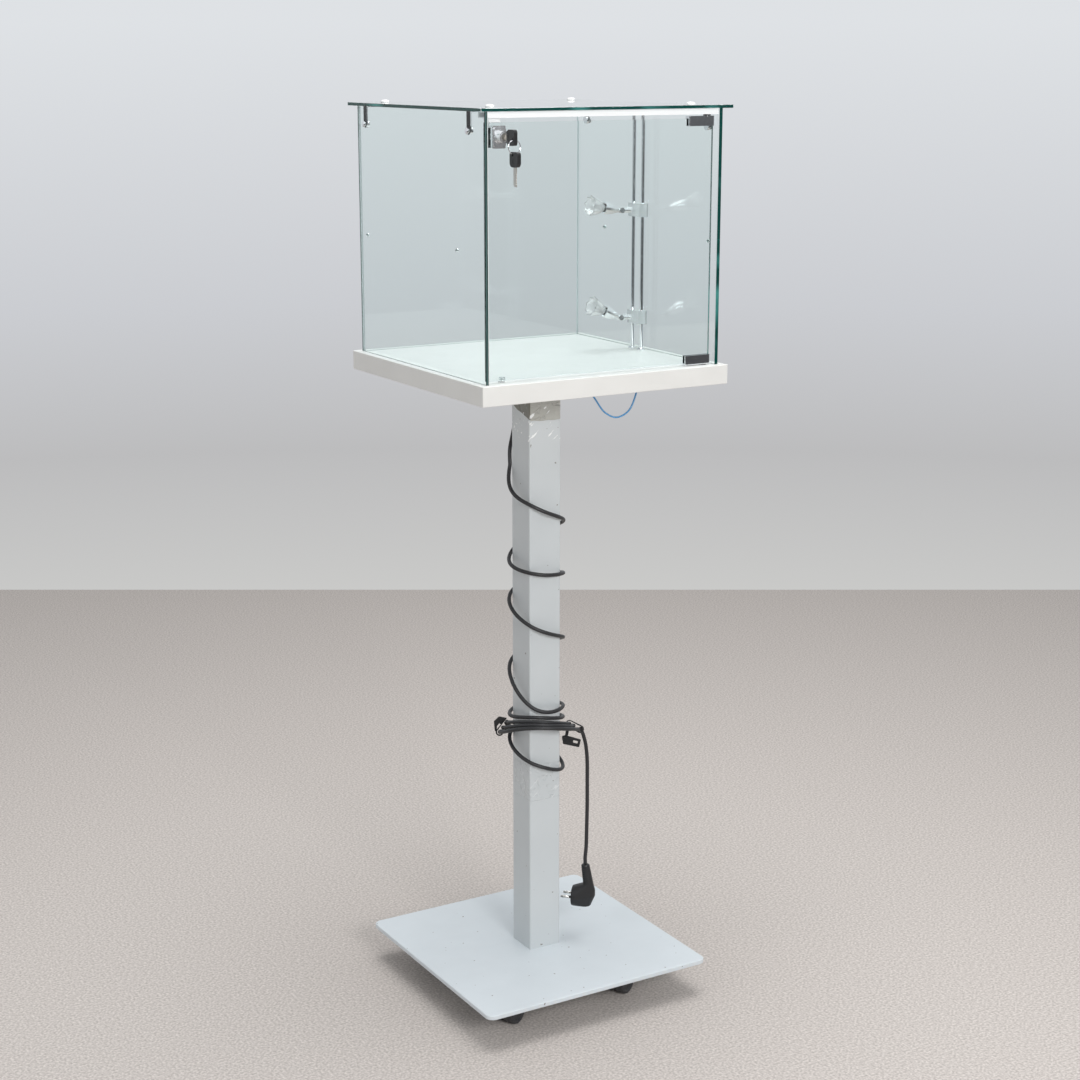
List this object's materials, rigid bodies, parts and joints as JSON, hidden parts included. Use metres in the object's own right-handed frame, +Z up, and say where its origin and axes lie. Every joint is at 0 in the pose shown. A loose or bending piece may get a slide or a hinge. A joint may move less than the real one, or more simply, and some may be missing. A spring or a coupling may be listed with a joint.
{
  "type": "pedestal display case",
  "caption": "Glass display case on a square post: hinged locking door, two swivelling lamps on rods, base plate on four casters, and a mains cord wound round the post.",
  "frame": {"origin": "on the floor at the centre of the overall box, which lies 20 mm in front of the post's axis because the lock and keys stand out at the front", "axes": "+Z up, +X to the right along the door as seen from the front, -Y towards the person who opens the door"},
  "size_m": [0.45, 0.4963, 1.5161],
  "materials": {
    "powder_coat": "light blue-grey powder coat",
    "zinc": "zinc-plated steel",
    "deck_white": "off-white lacquered board",
    "glass": "clear float glass with green edges",
    "rail_white": "white anodised",
    "chrome": "polished chrome",
    "cap_white": "white domed plastic",
    "clear_plastic": "clear moulded plastic",
    "black_plastic": "black moulded plastic",
    "black_cord": "black sheathed cord",
    "lead_blue": "blue and black thin leads",
    "transformer_white": "pale moulded housing",
    "brass_plug": "nickel-washed brass",
    "bulb_glass": "faceted glass reflector",
    "wheel_grey": "dark grey moulded wheels",
    "strap_black": "black hook-and-loop strap"
  },
  "bodies": {
    "root": {"base_plate": "powder_coat", "fixing_screws": "zinc", "caster_sockets": "zinc", "post": "powder_coat", "post_foot": "zinc", "post_head": "powder_coat", "deck": "deck_white", "left_glass": "glass", "right_glass": "glass", "back_glass": "glass", "top_glass": "glass", "header_rail": "rail_white", "top_brackets": "chrome", "bracket_screws": "chrome", "top_caps": "cap_white", "door_stop": "clear_plastic", "pivot_bushes": "black_plastic", "keeper": "rail_white", "light_rods": "chrome", "rod_sockets": "chrome", "transformer": "transformer_white", "mains_gland": "black_plastic", "lamp_leads": "lead_blue", "mains_lead": "black_cord", "mains_winding": "black_cord", "mains_tail": "black_cord", "bundle_straps": "strap_black", "plug": "black_plastic"},
    "door": {"door_glass": "glass", "upper_hinge": "chrome", "lower_hinge": "chrome", "hinge_pads": "black_plastic", "door_screws": "zinc", "lock_case": "chrome", "lock_back": "black_plastic"},
    "bolt": {"lock_bolt": "zinc"},
    "lock_core": {"lock_cylinder": "brass_plug", "key": "black_plastic"},
    "split_ring": {"key_ring": "chrome"},
    "hanging_key": {"spare_key": "black_plastic"},
    "upper_slider": {"upper_clamp": "clear_plastic", "upper_knob": "chrome"},
    "upper_swing": {"upper_arm": "chrome"},
    "upper_lamp": {"upper_head": "chrome", "upper_holder": "black_plastic", "upper_bulb": "bulb_glass"},
    "lower_slider": {"lower_clamp": "clear_plastic", "lower_knob": "chrome"},
    "lower_swing": {"lower_arm": "chrome"},
    "lower_lamp": {"lower_head": "chrome", "lower_holder": "black_plastic", "lower_bulb": "bulb_glass"},
    "swivel_front_left": {"caster_front_left": "black_plastic"},
    "roll_front_left": {"wheels_front_left": "wheel_grey"},
    "swivel_front_right": {"caster_front_right": "black_plastic"},
    "roll_front_right": {"wheels_front_right": "wheel_grey"},
    "swivel_back_left": {"caster_back_left": "black_plastic"},
    "roll_back_left": {"wheels_back_left": "wheel_grey"},
    "swivel_back_right": {"caster_back_right": "black_plastic"},
    "roll_back_right": {"wheels_back_right": "wheel_grey"}
  },
  "joints": [
    {"name": "door_hinge", "type": "hinge", "parent": "root", "child": "door", "pos_m": [0.19, -0.183, 1.3], "axis": [0, 0, 1], "range_deg": [0, 110]},
    {"name": "key_turn", "type": "hinge", "parent": "door", "child": "lock_core", "pos_m": [-0.188, -0.1797, 1.4705], "axis": [0, -1, 0], "range_deg": [0, 90]},
    {"name": "bolt_slide", "type": "slide", "parent": "door", "child": "bolt", "axis": [0, 0, 1], "range_m": [0, 0.007]},
    {"name": "ring_swing", "type": "hinge", "parent": "lock_core", "child": "split_ring", "pos_m": [-0.188, -0.2373, 1.468], "axis": [1, 0, 0], "range_deg": [-25, 25]},
    {"name": "spare_key_swing", "type": "hinge", "parent": "split_ring", "child": "hanging_key", "pos_m": [-0.188, -0.2373, 1.4464], "axis": [1, 0, 0], "range_deg": [-30, 30]},
    {"name": "upper_lamp_slide", "type": "slide", "parent": "root", "child": "upper_slider", "axis": [0, 0, 1], "range_m": [-0.06, 0.09]},
    {"name": "upper_lamp_turn", "type": "hinge", "parent": "upper_slider", "child": "upper_swing", "pos_m": [0.187, 0.02, 1.337], "axis": [1, 0, 0], "range_deg": [-90, 90]},
    {"name": "upper_lamp_tilt", "type": "hinge", "parent": "upper_swing", "child": "upper_lamp", "pos_m": [0.1625, 0.02, 1.337], "axis": [0, 1, 0], "range_deg": [-60, 60]},
    {"name": "lower_lamp_slide", "type": "slide", "parent": "root", "child": "lower_slider", "axis": [0, 0, 1], "range_m": [-0.01, 0.06]},
    {"name": "lower_lamp_turn", "type": "hinge", "parent": "lower_slider", "child": "lower_swing", "pos_m": [0.187, 0.02, 1.159], "axis": [1, 0, 0], "range_deg": [-90, 90]},
    {"name": "lower_lamp_tilt", "type": "hinge", "parent": "lower_swing", "child": "lower_lamp", "pos_m": [0.1625, 0.02, 1.159], "axis": [0, 1, 0], "range_deg": [-40, 50]},
    {"name": "caster_front_left_swivel", "type": "hinge", "parent": "root", "child": "swivel_front_left", "pos_m": [-0.11, -0.09, 0.055], "axis": [0, 0, 1], "continuous": true},
    {"name": "caster_front_left_roll", "type": "hinge", "parent": "swivel_front_left", "child": "roll_front_left", "pos_m": [-0.12819, -0.1005, 0.025], "axis": [-0.5, 0.866, 0], "continuous": true},
    {"name": "caster_front_right_swivel", "type": "hinge", "parent": "root", "child": "swivel_front_right", "pos_m": [0.11, -0.09, 0.055], "axis": [0, 0, 1], "continuous": true},
    {"name": "caster_front_right_roll", "type": "hinge", "parent": "swivel_front_right", "child": "roll_front_right", "pos_m": [0.09181, -0.1005, 0.025], "axis": [-0.5, 0.866, 0], "continuous": true},
    {"name": "caster_back_left_swivel", "type": "hinge", "parent": "root", "child": "swivel_back_left", "pos_m": [-0.11, 0.13, 0.055], "axis": [0, 0, 1], "continuous": true},
    {"name": "caster_back_left_roll", "type": "hinge", "parent": "swivel_back_left", "child": "roll_back_left", "pos_m": [-0.12819, 0.1195, 0.025], "axis": [-0.5, 0.866, 0], "continuous": true},
    {"name": "caster_back_right_swivel", "type": "hinge", "parent": "root", "child": "swivel_back_right", "pos_m": [0.11, 0.13, 0.055], "axis": [0, 0, 1], "continuous": true},
    {"name": "caster_back_right_roll", "type": "hinge", "parent": "swivel_back_right", "child": "roll_back_right", "pos_m": [0.09181, 0.1195, 0.025], "axis": [-0.5, 0.866, 0], "continuous": true}
  ],
  "couplings": [
    {"joint": "key_turn", "follows": "bolt_slide", "rad_per_m": 224.39}
  ]
}
